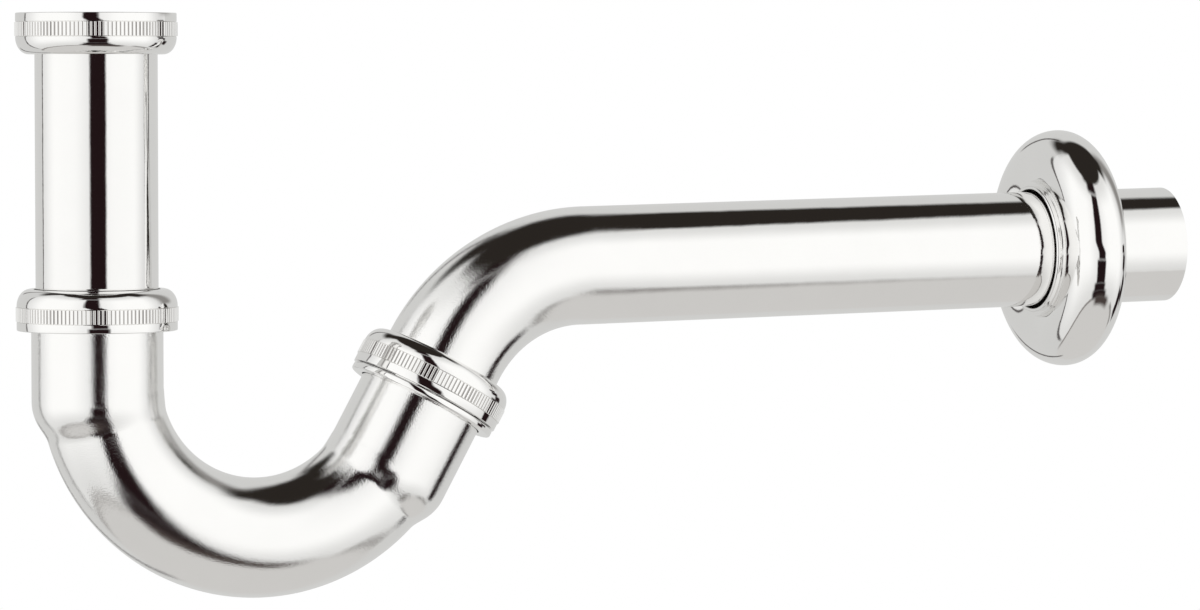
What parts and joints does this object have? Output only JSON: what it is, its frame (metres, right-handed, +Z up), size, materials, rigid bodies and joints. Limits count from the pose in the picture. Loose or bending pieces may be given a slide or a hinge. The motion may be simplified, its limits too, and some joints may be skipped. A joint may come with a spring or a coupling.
{
  "type": "p trap",
  "caption": "Chromed tubular P trap: knurled slip nuts, telescoping inlet tube, U-bend and a swan-neck wall tube with a sliding wall rosette.",
  "frame": {"origin": "centre of the inlet nut's mouth, where the trap screws up onto the basin's waste", "axes": "+Z up along the inlet tube towards the basin, +X from the inlet tube towards the wall, +Y the third right-handed axis; the trap is symmetric about the XZ plane"},
  "size_m": [0.4153, 0.0826, 0.1931],
  "materials": {
    "chrome": "bright chrome plating on brass, polished",
    "nylon": "moulded, satin",
    "rubber": "matt"
  },
  "bodies": {
    "inlet": {"inlet_tube": "chrome", "inlet_gasket": "rubber"},
    "inlet_slip_ring": {"inlet_slip_ring": "nylon"},
    "inlet_nut": {"inlet_nut": "chrome"},
    "bend_inlet_seal": {"bend_inlet_seal": "rubber"},
    "u_bend": {"u_bend": "chrome", "bend_inlet_collar": "chrome", "bend_outlet_collar": "chrome"},
    "bend_inlet_slip_ring": {"bend_inlet_slip_ring": "nylon"},
    "bend_inlet_nut": {"bend_inlet_nut": "chrome"},
    "bend_outlet_slip_ring": {"bend_outlet_slip_ring": "nylon"},
    "bend_outlet_nut": {"bend_outlet_nut": "chrome"},
    "bend_outlet_seal": {"bend_outlet_seal": "rubber"},
    "outlet_arm": {"outlet_arm": "chrome"},
    "rosette_grip_ring": {"rosette_grip_ring": "rubber"},
    "rosette": {"rosette": "chrome"}
  },
  "joints": [
    {"name": "inlet_nut_slide", "type": "slide", "parent": "inlet", "child": "inlet_slip_ring", "axis": [0, 0, 1], "range_m": [-0.065, 0]},
    {"name": "inlet_nut_turn", "type": "hinge", "parent": "inlet_slip_ring", "child": "inlet_nut", "pos_m": [0, 0, -0.007], "axis": [0, 0, 1], "continuous": true},
    {"name": "height_adjust", "type": "slide", "parent": "inlet", "child": "bend_inlet_seal", "axis": [0, 0, 1], "range_m": [-0.01, 0.008]},
    {"name": "bend_swivel", "type": "hinge", "parent": "bend_inlet_seal", "child": "u_bend", "pos_m": [0, 0, -0.0963], "axis": [0, 0, 1], "continuous": true},
    {"name": "bend_inlet_nut_travel", "type": "slide", "parent": "u_bend", "child": "bend_inlet_slip_ring", "axis": [0, 0, 1], "range_m": [0, 0.0047]},
    {"name": "bend_inlet_nut_turn", "type": "hinge", "parent": "bend_inlet_slip_ring", "child": "bend_inlet_nut", "pos_m": [0, 0, -0.0963], "axis": [0, 0, 1], "range_deg": [0, 720]},
    {"name": "bend_outlet_nut_travel", "type": "slide", "parent": "u_bend", "child": "bend_outlet_slip_ring", "axis": [0.4818, 0, 0.8763], "range_m": [0, 0.0047]},
    {"name": "bend_outlet_nut_turn", "type": "hinge", "parent": "bend_outlet_slip_ring", "child": "bend_outlet_nut", "pos_m": [0.11601, 0, -0.12129], "axis": [0.4818, 0, 0.8763], "range_deg": [0, 720]},
    {"name": "arm_swivel", "type": "hinge", "parent": "u_bend", "child": "bend_outlet_seal", "pos_m": [0.11601, 0, -0.12129], "axis": [0.4818, 0, 0.8763], "continuous": true},
    {"name": "arm_insert", "type": "slide", "parent": "bend_outlet_seal", "child": "outlet_arm", "axis": [0.4818, 0, 0.8763], "range_m": [-0.004, 0.01]},
    {"name": "rosette_slide", "type": "slide", "parent": "outlet_arm", "child": "rosette_grip_ring", "axis": [0.9998, 0, 0.0209], "range_m": [-0.16, 0.03]},
    {"name": "rosette_turn", "type": "hinge", "parent": "rosette_grip_ring", "child": "rosette", "pos_m": [0.34848, 0, -0.08092], "axis": [0.9998, 0, 0.0209], "continuous": true}
  ],
  "couplings": [
    {"joint": "bend_inlet_nut_travel", "follows": "bend_inlet_nut_turn", "m_per_rad": 0.0003675},
    {"joint": "bend_outlet_nut_travel", "follows": "bend_outlet_nut_turn", "m_per_rad": 0.0003675}
  ]
}
